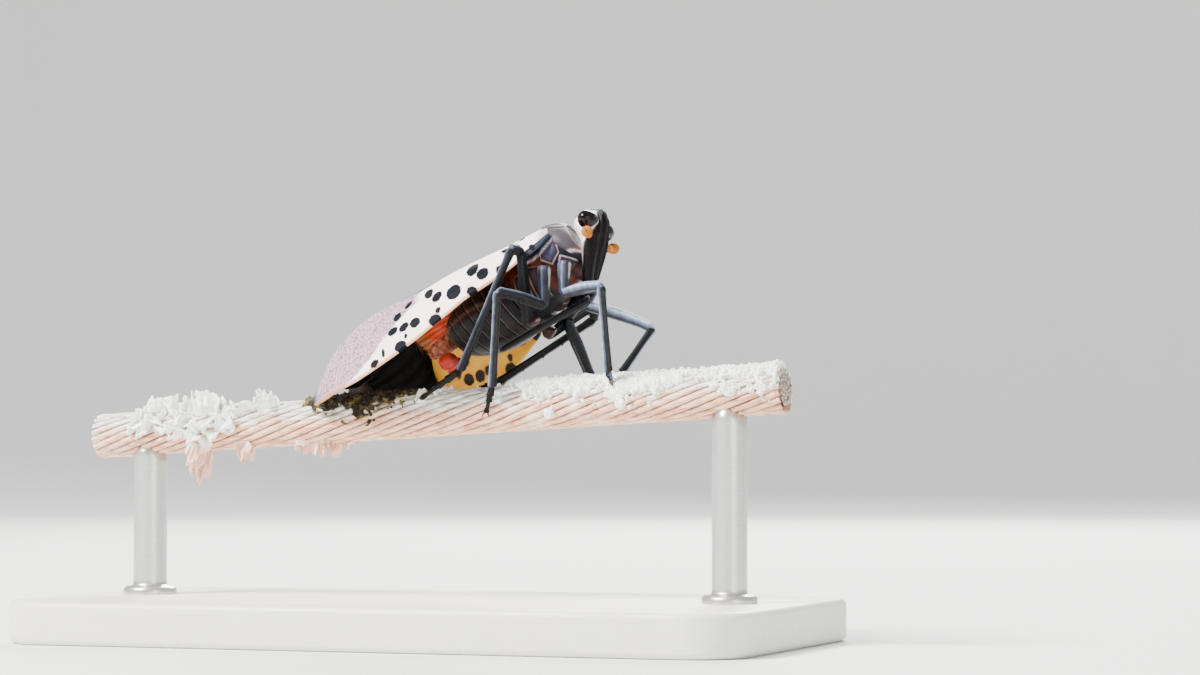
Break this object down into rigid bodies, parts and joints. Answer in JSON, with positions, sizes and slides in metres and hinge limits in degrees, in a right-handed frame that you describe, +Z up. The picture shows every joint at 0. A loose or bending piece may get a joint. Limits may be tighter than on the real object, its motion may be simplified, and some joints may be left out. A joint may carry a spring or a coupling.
{
  "type": "spotted lanternfly on a perch",
  "caption": "Life-size still model of an adult spotted lanternfly gripping a cut length of stranded cable, held up by a flat base with two short rods",
  "frame": {"origin": "middle of the underside of the stand's base", "axes": "+X towards the insect's head along the perch, +Y to the insect's left, +Z up"},
  "size_m": [0.054, 0.028, 0.0299],
  "materials": {
    "horn": "dark blue-black horn of the legs, beak and belly, with a grey-blue sheen",
    "shield": "slate-blue body shields with thin cream edges and rusty membranes",
    "head": "cream cheeks, blue-grey crown and ribbed black-brown face",
    "eye": "glossy dark brown-black",
    "orange": "bright orange with a fine pitted grain",
    "red": "bright red, slightly moist",
    "flesh": "pinkish tan wrinkled skin",
    "forewing": "cream with black spots, netted purple-grey towards the tip",
    "hindwing": "red with black spots at the base and a black tip",
    "cable": "weathered rusty strands with white lichen and brown moss",
    "stand": "plain pale satin display stand"
  },
  "bodies": {
    "root": {"pronotum": "shield", "thorax": "shield", "abdomen": "horn", "scutellum": "shield", "head": "head", "beak": "horn", "eye_left": "eye", "antenna_left": "orange", "eye_right": "eye", "antenna_right": "orange", "tegmen_left": "forewing", "hindwing_left": "hindwing", "tegmen_right": "forewing", "hindwing_right": "hindwing", "anal_tube": "flesh", "valves": "red", "fore_right_coxa": "shield", "fore_right_femur": "horn", "fore_right_tibia": "horn", "fore_right_tarsus": "horn", "fore_left_coxa": "shield", "fore_left_femur": "horn", "fore_left_tibia": "horn", "fore_left_tarsus": "horn", "mid_right_coxa": "shield", "mid_right_femur": "horn", "mid_right_tibia": "horn", "mid_right_tarsus": "horn", "mid_left_coxa": "shield", "mid_left_femur": "horn", "mid_left_tibia": "horn", "mid_left_tarsus": "horn", "hind_right_coxa": "shield", "hind_right_femur": "horn", "hind_right_tibia": "horn", "hind_right_tarsus": "horn", "hind_left_coxa": "shield", "hind_left_femur": "horn", "hind_left_tibia": "horn", "hind_left_tarsus": "horn", "perch_cable": "cable", "stand_base": "stand", "stand_rod_front": "stand", "stand_rod_back": "stand"}
  },
  "joints": []
}
